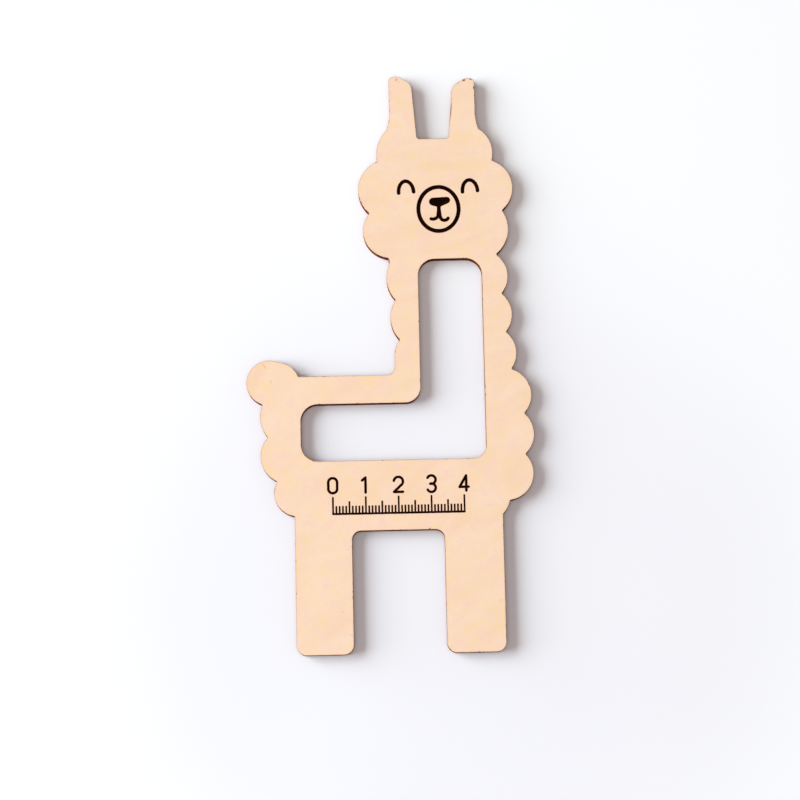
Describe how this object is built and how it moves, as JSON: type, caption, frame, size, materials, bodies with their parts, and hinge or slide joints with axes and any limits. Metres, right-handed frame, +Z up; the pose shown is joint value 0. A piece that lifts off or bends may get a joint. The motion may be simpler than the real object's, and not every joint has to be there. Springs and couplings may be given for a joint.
{
  "type": "pom pom maker",
  "caption": "Flat plywood winding form in a fluffy animal outline, with ears, a neck and legs to wind yarn round and an L-shaped slot for tying the pom pom.",
  "frame": {"origin": "on the table, under the middle of the outline's bounding box", "axes": "+X from the tail to the chest, +Y from the hooves to the ears, +Z up through the sheet to the marked front face"},
  "size_m": [0.0878, 0.18, 0.0032],
  "materials": {
    "maple_veneer": "bare sanded rotary-cut maple, with laser-burnt edges and marks",
    "core_wood": "laser-cut edge of the core ply, burnt brown",
    "glue_film": "thin dark line of wood glue in the cut edge"
  },
  "bodies": {
    "root": {"back_face_veneer": "maple_veneer", "back_glue_line": "glue_film", "core_ply": "core_wood", "front_glue_line": "glue_film", "front_face_veneer": "maple_veneer"}
  },
  "joints": []
}
